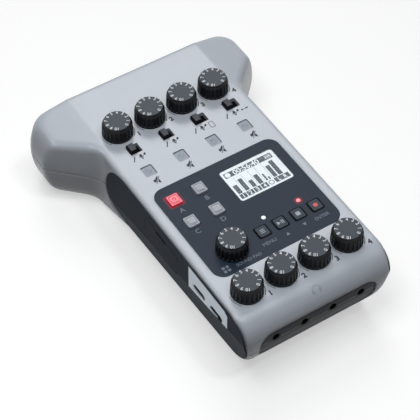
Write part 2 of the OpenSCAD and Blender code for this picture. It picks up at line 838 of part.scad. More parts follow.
// A key cap: flange under the roof, post over its switch
module key_cap(w, d, r, under, top) {
    slab(w, d, r, under - gap - EPS, top);
    slab(w + 1.8, d + 1.8, r, under - gap - key_flange_t, under - gap);
    rod(2.6, tact_top + post_gap, under - gap - key_flange_t + EPS);
}
module mute_key(i) color([0.72, 0.74, 0.77]) {
    translate([channel_x(i), mute_y, 0])
        difference() {
            key_cap(mute_w, mute_d, 0.7, roof_z, top_z - 0.5);
            // Dimple for the fingertip
            translate([0, 0, top_z - 0.5 + 2.6])
                sphere(r = 3, $fn = ROUND);
        }
}
module sound_pad(x, y) {
    bevel_z = top_z + 0.4;
    square = 0.5;
    line = 0.76;
    translate([x, y, 0]) {
        key_cap(pad_w, pad_d, 0.9, fascia_z, bevel_z);
        difference() {
            intersection() {
                taper(pad_w, pad_d + 2, bevel_z - EPS, pad_top);
                rotate([0, 0, 90])
                    taper(pad_d, pad_w + 2, bevel_z - EPS, pad_top);
                slab(pad_w, pad_d, 0.9, top_z, pad_top + 1);
            }
            // Contour line in the face
            difference() {
                slab(pad_w * line, pad_d * line, 0.7, pad_top - 0.15, pad_top + 1);
                slab(pad_w * line - 0.4, pad_d * line - 0.4, 0.5, top_z, pad_top + 2);
            }
        }
        // Raised square with a dimple for the fingertip
        difference() {
            slab(pad_w * square, pad_d * square, 0.4, pad_top - EPS, pad_top + 0.3);
            translate([0, 0, pad_top + 2.4])
                sphere(r = 2.3, $fn = ROUND);
        }
    }
}
module sound_pad_a() color([0.95, 0.45, 0.48])
    sound_pad(pad_xs[0], pad_ys[0]);
module sound_pad_b() color([0.66, 0.68, 0.71])
    sound_pad(pad_xs[1], pad_ys[0]);
module sound_pad_c() color([0.66, 0.68, 0.71])
    sound_pad(pad_xs[0], pad_ys[1]);
module sound_pad_d() color([0.66, 0.68, 0.71])
    sound_pad(pad_xs[1], pad_ys[1]);
module transport_key(i) color([0.24, 0.27, 0.31]) {
    translate([key_xs[i], key_y, 0])
        key_cap(key_w, key_d, 0.8, fascia_z, top_z + 0.3);
}
module tact() {
    slab(6, 6, 0.4, board_top, board_top + 3.1);
    rod(3.4, board_top + 3.1 - EPS, tact_top);
}
module key_switches() color([0.12, 0.12, 0.13]) {
    for (i = [0:3]) {
        translate([channel_x(i), mute_y, 0])
            tact();
        translate([key_xs[i], key_y, 0])
            tact();
    }
    for (x = pad_xs)
        for (y = pad_ys)
            translate([x, y, 0])
                tact();
}

module main_board() color([0.10, 0.32, 0.20]) {
    difference() {
        translate([0, (board_front + board_back) / 2, 0])
            slab(board_w, board_back - board_front, 3, board_z, board_top);
        for (p = posts)
            translate([p[0], p[1], 0])
                rod(post_d + 2 * gap, board_z - 1, board_top + 1);
    }
}

// Microphone sockets
mic_l = 21;
module for_mics() {
    for (i = [-1.5:1:1.5])
        translate([i * mic_pitch, 0, mic_z])
            children();
}
module mic_socket_shells() color([0.12, 0.12, 0.13]) {
    for_mics()
        difference() {
            rod_y(mic_d, back_y - mic_l, back_y);
            rod_y(mic_mouth_d, back_y - mic_l + 2, back_y + 1);
            // Slot for the plug's key
            translate([-1.6, back_y - mic_l + 5, -mic_mouth_d / 2 - 0.9])
                cube([3.2, mic_l, 2]);
        }
}
module mic_socket_inserts() color([0.07, 0.07, 0.08]) {
    for_mics()
        difference() {
            rod_y(15.4, back_y - mic_l + 2, back_y - 2);
            for (a = [210, 330, 90])
                translate([4.1 * cos(a), 0, 4.1 * sin(a)])
                    rod_y(3, back_y - mic_l + 3, back_y);
        }
}
module mic_contacts() color([0.80, 0.68, 0.35]) {
    for_mics()
        for (a = [210, 330, 90])
            translate([4.1 * cos(a), 0, 4.1 * sin(a)])
                difference() {
                    rod_y(3 - 2 * slip, back_y - mic_l + 3, back_y - 3);
                    rod_y(2.2, back_y - mic_l + 5, back_y);
                }
}
module mic_board() color([0.10, 0.32, 0.20]) {
    // As wide as the slanted walls of the shoulders leave room for
    w = 2 * (back_y - mic_l - board_t - diag_offset - 6.2);
    translate([-w / 2, back_y - mic_l - board_t, mic_z - 10])
        cube([w, board_t, roof_z - mic_z + 3.3]);
}

// Headphone end
// Side view of the strip: its face follows the nose
bezel_steps = [for (i = [0:14]) bezel_low - 1 + (bezel_top - bezel_low + 2) * i / 14];
function bezel_face(t) = [for (z = bezel_steps) [front_y + front_in(z) + t, z]];
module jack_bezel() color([0.10, 0.11, 0.13]) {
    difference() {
        intersection() {
            front_slot(-slip, front_y, front_y + 7);
            translate([-bezel_w / 2, 0, 0])
                rotate([90, 0, 90])
                    linear_extrude(bezel_w)
                        polygon(concat(bezel_face(bezel_in),
                            [for (i = [14:-1:0]) bezel_face(bezel_in + bezel_t)[i]]));
        }
        for (i = [-1.5:1:1.5])
            translate([i * jack_pitch, 0, jack_z])
                rod_y(jack_nose_d + 2 * slip, front_y - 1, bezel_y + 8);
    }
}
module headphone_jacks() color([0.05, 0.05, 0.06]) {
    for (i = [-1.5:1:1.5])
        translate([i * jack_pitch, 0, jack_z])
            difference() {
                union() {
                    rod_y(jack_nose_d, bezel_y + 0.1, bezel_y + 6.6);
                    translate([-3.3, bezel_y + 6.5, -3.2])
                        cube([6.6, jack_body_l, board_z - jack_z + 3.2]);
                }
                rod_y(jack_bore, bezel_y - 1, bezel_y + 15);
            }
}

// Battery parts
module aa_cells() color([0.75, 0.55, 0.20]) {
    for (s = [-1, 1])
        translate([0, bay_y + s * cell_pitch / 2, cell_z]) {
            rod_x(cell_d, -cell_l / 2, cell_l / 2);
            rod_x(5.2, s > 0 ? cell_l / 2 - EPS : -cell_l / 2 - 1.2, s > 0 ? cell_l / 2 + 1.2 : -cell_l / 2 + EPS);
        }
}
module battery_contacts() color([0.72, 0.73, 0.75]) {
    for (sx = [-1, 1])
        for (sy = [-1, 1])
            translate([0, bay_y + sy * cell_pitch / 2, cell_z]) {
                x = sx * (bay_l / 2 - 0.3);
                positive = sx == sy;
                translate([x - 0.2, -4.5, -5])
                    cube([0.4, 9, 10]);
                // The positive plate has a raised stud, the negative one a bent leaf
                if (positive)
                    rod_x(3, min(x, sx * (cell_l / 2 + 1.3)), max(x, sx * (cell_l / 2 + 1.3)));
                else
                    leaf_spring(x - sx * 0.1, sx * (cell_l / 2 + 0.05), sx * 0.45);
            }
}
// A strip bent from the plate at x0 to the cell at x1
module leaf_spring(x0, x1, t) {
    translate([0, 2, 0])
        rotate([90, 0, 0])
            linear_extrude(4)
                polygon([[x0, 4.4], [x1, 0.6], [x1, -0.6], [x0, -4.4],
                    [x0, -3.8], [x1 + t, -0.3], [x1 + t, 0.3], [x0, 3.8]]);
}
module battery_door() color([0.55, 0.57, 0.61]) {
    translate([0, bay_y, 0])
        difference() {
            slab(door_l, door_w, 0.8, base_z, base_z + door_t);
            // Grip lines for the thumb
            for (i = [0:4])
                translate([-9, -door_w / 2 + 3 + 1.4 * i, base_z - 1])
                    cube([18, 0.6, 1.4]);
        }
}
module case_screws() color([0.25, 0.26, 0.28]) {
    for (p = posts)
        translate([p[0], p[1], 0])
            difference() {
                union() {
                    rod(4.2, floor_z + 0.1, floor_z + 1.5);
                    rod(screw_d - 2 * slip, floor_z + 1, roof_z - 2);
                }
                slab(2.2, 0.5, 0.1, floor_z - 1, floor_z + 0.8);
                slab(0.5, 2.2, 0.1, floor_z - 1, floor_z + 0.8);
            }
}
module for_feet() {
    for (s = [-1, 1])
        for (p = feet_at)
            translate([s * p[0], p[1], 0])
                children();
}
module feet() color([0.15, 0.15, 0.16]) {
    for_feet()
        rod(foot_d, foot_z, base_z + 0.6);
}

top_shell();
bottom_shell();
left_cheek();
right_cheek();
port_plate();
usb_sockets();
fascia();
display_window();
lcd_module();
play_lamp();
record_lamp();
for (i = [0:3]) {
    gain_knob(i);
    volume_knob(i);
    input_switch(i);
    mute_key(i);
}
pad_volume_knob();
sound_pad_a();
sound_pad_b();
sound_pad_c();
sound_pad_d();
transport_key(0);  // menu_key
transport_key(1);  // play_key
transport_key(2);  // stop_key
transport_key(3);  // record_key
power_switch();
battery_door();
adapter_cover();
card_cover();
potentiometers();
input_switch_bodies();
key_switches();
main_board();
mic_board();
mic_socket_shells();
mic_socket_inserts();
mic_contacts();
headphone_jacks();
jack_bezel();
phone_jack();
power_switch_body();
card_socket();
adapter_socket();
aa_cells();
battery_contacts();
case_screws();
feet();
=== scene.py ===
# Looks of the podcast recorder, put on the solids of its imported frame. Blender units are metres.
from math import cos, hypot, radians, sin
import bpy
import bmesh
from mathutils import Matrix, Vector


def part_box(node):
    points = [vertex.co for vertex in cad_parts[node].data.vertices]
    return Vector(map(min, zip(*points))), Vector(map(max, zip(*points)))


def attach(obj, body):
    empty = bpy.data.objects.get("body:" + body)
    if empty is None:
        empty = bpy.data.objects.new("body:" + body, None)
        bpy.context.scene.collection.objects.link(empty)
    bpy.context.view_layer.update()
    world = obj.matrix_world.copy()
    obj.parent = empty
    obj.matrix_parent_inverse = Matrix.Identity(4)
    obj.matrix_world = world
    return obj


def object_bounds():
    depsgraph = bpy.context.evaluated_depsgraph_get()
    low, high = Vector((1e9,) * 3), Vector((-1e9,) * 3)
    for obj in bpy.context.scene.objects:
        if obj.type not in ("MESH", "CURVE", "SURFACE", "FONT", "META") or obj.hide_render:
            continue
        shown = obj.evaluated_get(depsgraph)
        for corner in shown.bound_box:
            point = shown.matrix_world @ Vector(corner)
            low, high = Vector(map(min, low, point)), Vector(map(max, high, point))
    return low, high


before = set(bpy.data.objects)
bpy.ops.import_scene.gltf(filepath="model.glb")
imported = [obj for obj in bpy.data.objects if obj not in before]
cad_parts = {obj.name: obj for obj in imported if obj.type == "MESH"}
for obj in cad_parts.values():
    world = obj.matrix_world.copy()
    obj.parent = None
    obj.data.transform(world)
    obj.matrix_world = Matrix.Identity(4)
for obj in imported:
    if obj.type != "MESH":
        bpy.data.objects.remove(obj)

CAD_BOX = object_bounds()
MM = 0.001
scene = bpy.context.scene
scene.view_settings.view_transform = "Standard"


# Camera: the place from which the photograph was taken, in degrees, millimetres and pixels
AZIMUTH = -32.49
ELEVATION = 50.17
AIM = Vector((-15.01, -15.67, 40.13))
DISTANCE = 685.05
FOCAL_PIXELS = 1600
FRAME_PIXELS = 420
SENSOR = 36
CLIP_START = 0.01


def direction(azimuth, elevation):
    """Unit vector towards a place seen from the object; azimuth 0 is in front of it"""
    a, e = radians(azimuth), radians(elevation)
    return Vector((sin(a) * cos(e), -cos(a) * cos(e), sin(e)))


def make_camera():
    a = radians(AZIMUTH)
    back = direction(AZIMUTH, ELEVATION)
    right = Vector((cos(a), sin(a), 0))
    up = back.cross(right)
    data = bpy.data.cameras.new("camera")
    data.sensor_width = SENSOR
    data.lens = FOCAL_PIXELS / FRAME_PIXELS * SENSOR
    data.clip_start = CLIP_START
    camera = bpy.data.objects.new("camera", data)
    place = Matrix((right, up, back)).transposed().to_4x4()
    place.translation = (AIM + DISTANCE * back) * MM
    camera.matrix_world = place
    scene.collection.objects.link(camera)
    scene.camera = camera


# Node trees
def srgb(r, g, b):
    """A colour given as 0 to 255 values, in linear light"""
    return tuple((c / 255 / 12.92 if c <= 10 else ((c / 255 + 0.055) / 1.055) ** 2.4) for c in (r, g, b)) + (1,)


def shade(colour, k):
    """A colour made k times as light"""
    return tuple(min(1, c * k) for c in colour[:3]) + (1,)


WHITE = (1, 1, 1, 1)
BLACK = (0, 0, 0, 1)


class Tree:
    """Short ways to add and join nodes in one material or world"""

    def __init__(self, owner):
        owner.use_nodes = True
        self.tree = owner.node_tree
        self.tree.nodes.clear()

    def add(self, kind, inputs=None, **settings):
        node = self.tree.nodes.new("ShaderNode" + kind)
        for key, value in settings.items():
            setattr(node, key, value)
        for key, value in (inputs or {}).items():
            socket = node.inputs[key]
            if isinstance(value, bpy.types.NodeSocket):
                self.tree.links.new(value, socket)
            else:
                socket.default_value = value
        return node

    def math(self, operation, a, b=0.0, c=0.0):
        return self.add("Math", {0: a, 1: b, 2: c}, operation=operation).outputs[0]

    def fade(self, value, low, high, a=0.0, b=1.0):
        """value mapped from low..high to a..b and held there"""
        node = self.add("MapRange", {"Value": value, "From Min": low, "From Max": high, "To Min": a, "To Max": b})
        return node.outputs["Result"]

    def mix(self, factor, a, b):
        """Colour a at factor 0 and b at 1, by the numbers of the Mix node's colour sockets"""
        return self.add("Mix", {0: factor, 6: a, 7: b}, data_type="RGBA").outputs[2]

    def noise(self, where, scale, detail=2.0, rough=0.5):
        node = self.add("TexNoise", {"Vector": where, "Scale": scale, "Detail": detail, "Roughness": rough})
        return node.outputs[0]


def seen_directly(t):
    """1 for rays that show the background: straight, mirrored or through glass"""
    path = t.add("LightPath")
    shown = t.math("MAXIMUM", path.outputs["Is Camera Ray"], path.outputs["Is Glossy Ray"])
    return t.math("MAXIMUM", shown, path.outputs["Is Transmission Ray"])


# Light: a broad soft ceiling that is dark towards the horizon, lamps far away, and one soft box
CEILING_COLOUR = (0.92, 0.96, 1, 1)
ZENITH_LIGHT = 0.2
HORIZON_LIGHT = 0.02
CEILING_EASE = 2.0
# Each lamp's azimuth and elevation in degrees, its strength, and its apparent size in degrees
LAMPS = {
    "back_lamp": (155, 48, 0.8, 30),
    "nose_gleam": (40, 68, 0.5, 10),
    "ridge_gleam": (-75, 62, 0.16, 14),
}
# Lamps that only make highlights, for the ridge of the left shoulder and the rim of the left side
FLASHES = {
    "ridge_flash": (-104, 46, 0.6, 14),
    "rim_flash": (-137, 42, 0.4, 10),
}
# A square soft box over the left side: its place and side in metres, and its power in watts
SOFT_BOX = ((-0.12, -0.02, 0.55), 0.25, 1.12)


def make_light():
    world = bpy.data.worlds.new("studio")
    scene.world = world
    t = Tree(world)
    up = t.add("SeparateXYZ", {0: t.add("TexCoord").outputs["Generated"]}).outputs["Z"]
    rise = t.math("POWER", t.math("MAXIMUM", up, 0.0), CEILING_EASE)
    level = t.fade(rise, 0.0, 1.0, HORIZON_LIGHT, ZENITH_LIGHT)
    ceiling = t.add("Background", {"Color": CEILING_COLOUR, "Strength": level})
    white = t.add("Background", {"Color": WHITE, "Strength": 1.0})
    both = t.add("MixShader", {0: seen_directly(t), 1: ceiling.outputs[0], 2: white.outputs[0]})
    t.add("OutputWorld", {0: both.outputs[0]})
    for name, (azimuth, elevation, strength, spread) in {**LAMPS, **FLASHES}.items():
        data = bpy.data.lights.new(name, "SUN")
        data.energy = strength
        data.angle = radians(spread)
        lamp = bpy.data.objects.new(name, data)
        lamp.rotation_euler = direction(azimuth, elevation).to_track_quat("Z", "Y").to_euler()
        lamp.visible_diffuse = name not in FLASHES
        scene.collection.objects.link(lamp)
    place, side, power = SOFT_BOX
    data = bpy.data.lights.new("soft_box", "AREA")
    data.size = side
    data.energy = power
    lamp = bpy.data.objects.new("soft_box", data)
    lamp.location = place
    scene.collection.objects.link(lamp)


# Floor: half its side in metres, the share of light that its seen face gives back, its own white light, which brings
# it to the white of the background, and the share of light that it throws on the object
FLOOR_HALF = 12.0
FLOOR_SEEN = 0.62
FLOOR_GLOW = 0.5
FLOOR_BOUNCE = 0.03
FLOOR_GREY = (0.985, 0.985, 0.985, 1)
FLOOR_GRAIN = 400


def make_floor():
    mesh = bpy.data.meshes.new("floor")
    half, z = FLOOR_HALF, CAD_BOX[0][2]
    mesh.from_pydata([(-half, -half, z), (half, -half, z), (half, half, z), (-half, half, z)], [], [(0, 1, 2, 3)])
    floor = bpy.data.objects.new("floor", mesh)
    scene.collection.objects.link(floor)
    material = bpy.data.materials.new("floor_paper")
    t = Tree(material)
    where = t.add("TexCoord").outputs["Object"]
    paper = t.mix(t.noise(where, FLOOR_GRAIN), FLOOR_GREY, WHITE)
    bounce = t.add("BsdfDiffuse", {"Color": (FLOOR_BOUNCE,) * 3 + (1,)})
    seen = t.add("BsdfDiffuse", {"Color": t.mix(1 - FLOOR_SEEN, paper, BLACK)})
    glow = t.add("Emission", {"Color": WHITE, "Strength": FLOOR_GLOW})
    lit = t.add("AddShader", {0: seen.outputs[0], 1: glow.outputs[0]})
    both = t.add("MixShader", {0: seen_directly(t), 1: bounce.outputs[0], 2: lit.outputs[0]})
    t.add("OutputMaterial", {0: both.outputs[0]})
    mesh.materials.append(material)


# The flat top that holds the controls, in millimetres: its half width, the place where the nose begins, and the
# width over which edges turn from crisp to soft
CONTROLS_X = 31.5
CONTROLS_Y = -64.0
CONTROLS_FADE = 1.5

# Materials. Scales are in waves a metre: 3000 is a grain of about a third of a millimetre
DRIFT_SCALE = 70
NOISE_LOW, NOISE_HIGH = 0.35, 0.65
ROUGH_LOW, ROUGH_HIGH = 0.3, 0.7
ROUGH_DRIFT = 0.05
# Upward part of the normal at which the colour of the top starts and is full, and the height in millimetres over which
# it comes in below its own level
UP_START, UP_FULL = 0.93, 0.99
TOP_FADE = 0.05
BUMP_STRENGTH = 0.5
EDGE_SAMPLES = 4


def make_material(name, colour, rough, metal=0.0, spec=0.5, mottle=0.04, grain=2600, relief=0.02, edge=0.0,
                  crisp=None, top=None, top_from=0.0, glow=None, glow_strength=0.0, extra=None, alpha=1.0):
    """A moulded, painted or plated finish with slow colour drift, fine grain and softened edges

    mottle is the share by which the colour drifts, grain the scale and relief the height of the grain,
    edge the radius of rounded edges and crisp a smaller one for the openings in the flat top,
    top the colour of faces that look up, from top_from on, and extra a function that adds to the colour.
    Lengths are in millimetres.
    """
    material = bpy.data.materials.new(name)
    t = Tree(material)
    coords = t.add("TexCoord")
    where = coords.outputs["Object"]
    slow = t.noise(where, DRIFT_SCALE, 3)
    fine = t.noise(where, grain, 3, 0.6)
    mixed = t.math("MULTIPLY_ADD", fine, 0.5, t.math("MULTIPLY", slow, 0.5))
    tone = t.fade(mixed, NOISE_LOW, NOISE_HIGH)
    base = t.mix(tone, shade(colour, 1 - mottle), shade(colour, 1 + mottle))
    rough_here = t.fade(fine, ROUGH_LOW, ROUGH_HIGH, rough - ROUGH_DRIFT, rough + ROUGH_DRIFT)
    if top:
        up = t.add("SeparateXYZ", {0: coords.outputs["Normal"]}).outputs["Z"]
        high = t.fade(t.add("SeparateXYZ", {0: where}).outputs["Z"], (top_from - TOP_FADE) * MM, top_from * MM)
        facing = t.math("MULTIPLY", t.fade(up, UP_START, UP_FULL), high)
        base = t.mix(facing, base, t.mix(tone, shade(top, 1 - mottle), shade(top, 1 + mottle)))
    surface = {"Roughness": rough_here, "Metallic": metal, "Specular IOR Level": spec, "Alpha": alpha}
    if extra:
        base, more = extra(t, where, base)
        surface.update(more)
    surface["Base Color"] = base
    bump = {"Height": fine, "Strength": BUMP_STRENGTH, "Distance": relief * MM}
    if edge:
        radius = edge * MM
        if crisp:
            split = t.add("SeparateXYZ", {0: where})
            far = t.math("ABSOLUTE", split.outputs["X"])
            across = t.fade(far, CONTROLS_X * MM, (CONTROLS_X + CONTROLS_FADE) * MM, 1.0, 0.0)
            along = t.fade(split.outputs["Y"], (CONTROLS_Y - CONTROLS_FADE) * MM, CONTROLS_Y * MM)
            radius = t.fade(t.math("MULTIPLY", across, along), 0.0, 1.0, edge * MM, crisp * MM)
        bump["Normal"] = t.add("Bevel", {"Radius": radius}, samples=EDGE_SAMPLES).outputs[0]
    surface["Normal"] = t.add("Bump", bump).outputs[0]
    if glow:
        surface["Emission Color"] = glow
        surface["Emission Strength"] = glow_strength
    shader = t.add("BsdfPrincipled", surface)
    t.add("OutputMaterial", {0: shader.outputs[0]})
    return material


# Places of the controls, in millimetres
TOP_Z = 39.2
CHANNEL_X = [-25.2, -8.4, 8.4, 25.2]
GAIN_Y = 45.1
VOLUME_Y = -60.0
PAD_A = (-24.8, -2.35)
PAD_HALF = 2.9
RECORD_LAMP = (20.4, -30.85)
LAMP_HALF = 0.5
PARTING_Z = 20.0

# Seam of the two shells: half its dark width, and how far from its middle it has faded, in metres
SEAM_DARK, SEAM_END = 0.00010, 0.00022
SEAM_COLOUR = srgb(28, 30, 34)
# Red light round the lit pad and the record lamp: its reach in millimetres and how fast it fades
PAD_SPILL = (1.5, 1.6)
LAMP_SPILL = (1.9, 1.4)
SPILL_COLOUR = (0.55, 0.02, 0.03, 1)
SPILL_STRENGTH = 0.55


def around(t, where, x, y, half, reach):
    """1 at a rounded square on the top, fading to 0 over reach millimetres"""
    split = t.add("SeparateXYZ", {0: where})
    out = []
    for axis, middle in (("X", x), ("Y", y)):
        far = t.math("ABSOLUTE", t.math("SUBTRACT", split.outputs[axis], middle * MM))
        out.append(t.math("MAXIMUM", t.math("SUBTRACT", far, half * MM), 0.0))
    away = t.math("SQRT", t.math("ADD", t.math("POWER", out[0], 2.0), t.math("POWER", out[1], 2.0)))
    return t.fade(away, 0.0, reach * MM, 1.0, 0.0)


def parting_line(t, where, base):
    """A dark seam where the two shells meet"""
    z = t.add("SeparateXYZ", {0: where}).outputs["Z"]
    seam = t.fade(t.math("ABSOLUTE", t.math("SUBTRACT", z, PARTING_Z * MM)), SEAM_DARK, SEAM_END, 1.0, 0.0)
    return t.mix(seam, base, SEAM_COLOUR), {}


def red_spill(t, where, base):
    """Red light from the lit pad and the record lamp on the fascia round them"""
    pad = t.math("POWER", around(t, where, *PAD_A, PAD_HALF, PAD_SPILL[0]), PAD_SPILL[1])
    lamp = t.math("POWER", around(t, where, *RECORD_LAMP, LAMP_HALF, LAMP_SPILL[0]), LAMP_SPILL[1])
    strength = t.math("MULTIPLY", t.math("MAXIMUM", pad, lamp), SPILL_STRENGTH)
    return base, {"Emission Color": SPILL_COLOUR, "Emission Strength": strength}


# The finishes, by name; what each number says is told in make_material
MATERIALS = {
    "silver_paint": dict(colour=srgb(179, 186, 196), rough=0.23, spec=0.5, mottle=0.02, grain=5200, relief=0.004,
                         edge=2.2, crisp=0.12, extra=parting_line),
    "dark_panel": dict(colour=srgb(56, 63, 73), rough=0.55, spec=0.03, grain=2400, relief=0.012, edge=0.15),
    "cover_dark": dict(colour=srgb(60, 67, 77), rough=0.55, spec=0.03, grain=2400, relief=0.012, edge=0.25),
    "port_blue": dict(colour=srgb(212, 224, 234), rough=0.35, metal=0.42, spec=0.4, relief=0.004, edge=0.1),
    "socket_steel": dict(colour=srgb(84, 87, 93), rough=0.3, metal=0.9, relief=0.003),
    "fascia_paint": dict(colour=srgb(36, 47, 61), rough=0.45, spec=0.15, mottle=0.03, grain=3000, relief=0.005,
                         edge=0.15, extra=red_spill),
    "lcd_glass": dict(colour=(0.9, 0.95, 0.97, 1), rough=0.08, spec=0.5, mottle=0.01, relief=0.0005, alpha=0.08),
    "lcd_white": dict(colour=srgb(225, 232, 236), rough=0.5, relief=0.004),
    "lamp_clear": dict(colour=srgb(240, 243, 248), rough=0.25, edge=0.2, relief=0.002,
                       glow=srgb(240, 245, 255), glow_strength=0.12),
    "lamp_red": dict(colour=srgb(235, 120, 130), rough=0.25, edge=0.2, relief=0.002,
                     glow=srgb(255, 110, 120), glow_strength=0.45),
    "dark_plastic": dict(colour=srgb(60, 63, 68), rough=0.5, spec=0.3, edge=0.15),
    "black_plastic": dict(colour=srgb(14, 15, 18), rough=0.45, spec=0.15, relief=0.008, edge=0.12),
    "bezel_black": dict(colour=srgb(40, 42, 47), rough=0.45, spec=0.1, relief=0.008, edge=0.15),
    "plated_steel": dict(colour=srgb(190, 192, 196), rough=0.28, metal=1.0, relief=0.002),
    "board_green": dict(colour=srgb(20, 82, 52), rough=0.45, mottle=0.12, relief=0.01),
    "contact_gold": dict(colour=srgb(214, 180, 96), rough=0.25, metal=1.0, relief=0.002),
    "cell_sleeve": dict(colour=srgb(190, 140, 60), rough=0.3, relief=0.002),
    "screw_black": dict(colour=srgb(70, 72, 76), rough=0.35, metal=0.8, relief=0.003),
    "rubber_foot": dict(colour=srgb(30, 30, 32), rough=0.8, spec=0.2, relief=0.03, edge=0.3),
    # Black rubber knobs; the lighter grey of their up-facing faces is painted light
    "knob_rubber": dict(colour=srgb(12, 13, 17), rough=0.4, spec=0.2, relief=0.012, edge=0.12,
                        top=srgb(62, 69, 78)),
    "key_silver": dict(colour=srgb(152, 160, 171), rough=0.4, spec=0.3, mottle=0.02, relief=0.003, edge=0.2),
    "pad_grey": dict(colour=srgb(176, 180, 190), rough=0.55, spec=0.3, mottle=0.03, relief=0.01, edge=0.2),
    "pad_lit": dict(colour=srgb(190, 40, 56), rough=0.5, spec=0.3, mottle=0.03, relief=0.01, edge=0.2,
                    top=srgb(246, 142, 154), glow=srgb(255, 60, 80), glow_strength=0.16),
    "key_dark": dict(colour=srgb(12, 13, 17), rough=0.5, spec=0.15, relief=0.006, edge=0.15,
                     top=srgb(62, 70, 80)),
    "lever_dark": dict(colour=srgb(9, 10, 12), rough=0.5, spec=0.08, relief=0.01, edge=0.2,
                       top=srgb(82, 85, 91), top_from=TOP_Z),
    "ink_white": dict(colour=srgb(226, 230, 235), rough=0.6, spec=0.2, mottle=0.05, relief=0.006),
    "ink_faint": dict(colour=srgb(160, 165, 172), rough=0.5, spec=0.3, mottle=0.03, relief=0.006),
    # A painted highlight along an edge of the strip across the nose
    "strip_edge_highlight": dict(colour=srgb(150, 153, 160), rough=0.4, spec=0.4, mottle=0.04, relief=0.006),
    "ink_key": dict(colour=srgb(168, 177, 186), rough=0.6, spec=0.2, mottle=0.05, relief=0.006),
    # Black print and outlines, and also the painted shadow in the finger slot of the adapter cover
    "black_ink_and_shadow": dict(colour=srgb(8, 9, 11), rough=0.6, spec=0.1, mottle=0.05, relief=0.006),
    # Painted shade in the grooves of the pads and painted highlight on their rims, on the grey pads and on the lit one
    "pad_groove": dict(colour=srgb(122, 128, 140), rough=0.6, spec=0.2, mottle=0.05, relief=0.006),
    "pad_ring": dict(colour=srgb(206, 210, 218), rough=0.5, spec=0.3, mottle=0.04, relief=0.006),
    "pad_lit_groove": dict(colour=srgb(196, 56, 72), rough=0.6, mottle=0.05, relief=0.006,
                           glow=srgb(200, 30, 45), glow_strength=0.15),
    "pad_lit_ring": dict(colour=srgb(255, 186, 194), rough=0.5, mottle=0.04, relief=0.006,
                         glow=srgb(255, 130, 140), glow_strength=0.2),
    "ink_pale": dict(colour=srgb(124, 136, 150), rough=0.6, spec=0.2, mottle=0.05, relief=0.006),
    "ink_dark": dict(colour=srgb(52, 56, 64), rough=0.6, spec=0.2, mottle=0.06, relief=0.006),
    "lcd_field": dict(colour=srgb(236, 245, 250), rough=0.5, mottle=0.01, relief=0.001,
                      glow=srgb(225, 238, 245), glow_strength=0.12),
    "lcd_dot": dict(colour=srgb(84, 96, 104), rough=0.6, spec=0.1, mottle=0.06, relief=0.001),
    "record_red": dict(colour=srgb(200, 80, 82), rough=0.5, mottle=0.04, relief=0.004,
                       glow=srgb(200, 40, 40), glow_strength=0.2),
}

TRANSPORT_KEYS = ["menu_key", "play_key", "stop_key", "record_key"]
# The CAD nodes that have each finish
NODE_MATERIALS = {
    "silver_paint": ["top_shell", "bottom_shell", "battery_door"],
    "dark_panel": ["left_cheek", "right_cheek"],
    "cover_dark": ["adapter_cover", "card_cover"],
    "port_blue": ["port_plate"],
    "socket_steel": ["usb_sockets", "card_socket"],
    "fascia_paint": ["fascia"],
    "lcd_glass": ["display_window"],
    "lcd_white": ["lcd_module"],
    "lamp_clear": ["play_lamp"],
    "lamp_red": ["record_lamp"],
    "dark_plastic": ["power_switch"],
    "black_plastic": ["mic_socket_shells", "mic_socket_inserts", "headphone_jacks", "phone_jack",
                      "adapter_socket", "key_switches"],
    "bezel_black": ["jack_bezel"],
    "plated_steel": ["potentiometers", "input_switch_bodies", "power_switch_body", "battery_contacts"],
    "board_green": ["main_board", "mic_board"],
    "contact_gold": ["mic_contacts"],
    "cell_sleeve": ["aa_cells"],
    "screw_black": ["case_screws"],
    "rubber_foot": ["feet"],
    "knob_rubber": [f"{row}_knob_{i}" for row in ("gain", "volume") for i in (1, 2, 3, 4)] + ["pad_volume_knob"],
    "key_silver": [f"mute_key_{i}" for i in (1, 2, 3, 4)],
    "pad_grey": ["sound_pad_b", "sound_pad_c", "sound_pad_d"],
    "pad_lit": ["sound_pad_a"],
    "key_dark": TRANSPORT_KEYS,
    "lever_dark": [f"input_switch_{i}" for i in (1, 2, 3, 4)],
}
# Edges sharper than this many degrees stay sharp
SMOOTH_ANGLE = 32


def dress_nodes():
    """Each CAD node gets its finish, and smooth shading up to a crease angle"""
    for name, nodes in NODE_MATERIALS.items():
        for node in nodes:
            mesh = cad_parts[node].data
            mesh.materials.clear()
            mesh.materials.append(LOOKS[name])
            mesh.shade_smooth()
            mesh.set_sharp_from_angle(angle=radians(SMOOTH_ANGLE))


# Flat forms, in millimetres: outlines as lists of points, and what raises them into a mesh under construction
INK = 0.03
CORNER_STEPS = 5
TINY = 1e-9


def plate(bm, points, z, thick=INK):
    """A flat form of one outline, raised from z by thick"""
    low = [bm.verts.new((x, y, z)) for x, y in points]
    high = [bm.verts.new((x, y, z + thick)) for x, y in points]
    bm.faces.new(high)
    bm.faces.new(low[::-1])
    n = len(points)
    for i in range(n):
        j = (i + 1) % n
        bm.faces.new((low[i], low[j], high[j], high[i]))


def oval(x, y, rx, ry=None, n=32, a0=0, a1=360):
    """A circle, ellipse or arc in n steps, from a0 to a1 degrees"""
    ry = ry or rx
    last = n if a1 - a0 == 360 else n + 1
    return [(x + rx * cos(radians(a0 + (a1 - a0) * i / n)), y + ry * sin(radians(a0 + (a1 - a0) * i / n)))
            for i in range(last)]


def box(x0, y0, x1, y1, r=0.0):
    """A rectangle, with corners rounded by r"""
    if not r:
        return [(x0, y0), (x1, y0), (x1, y1), (x0, y1)]
    out = []
    for cx, cy, a in ((x1 - r, y1 - r, 0), (x0 + r, y1 - r, 90), (x0 + r, y0 + r, 180), (x1 - r, y0 + r, 270)):
        out += oval(cx, cy, r, n=CORNER_STEPS, a0=a, a1=a + 90)
    return out


def square_box(x, y, half, r):
    return box(x - half, y - half, x + half, y + half, r)


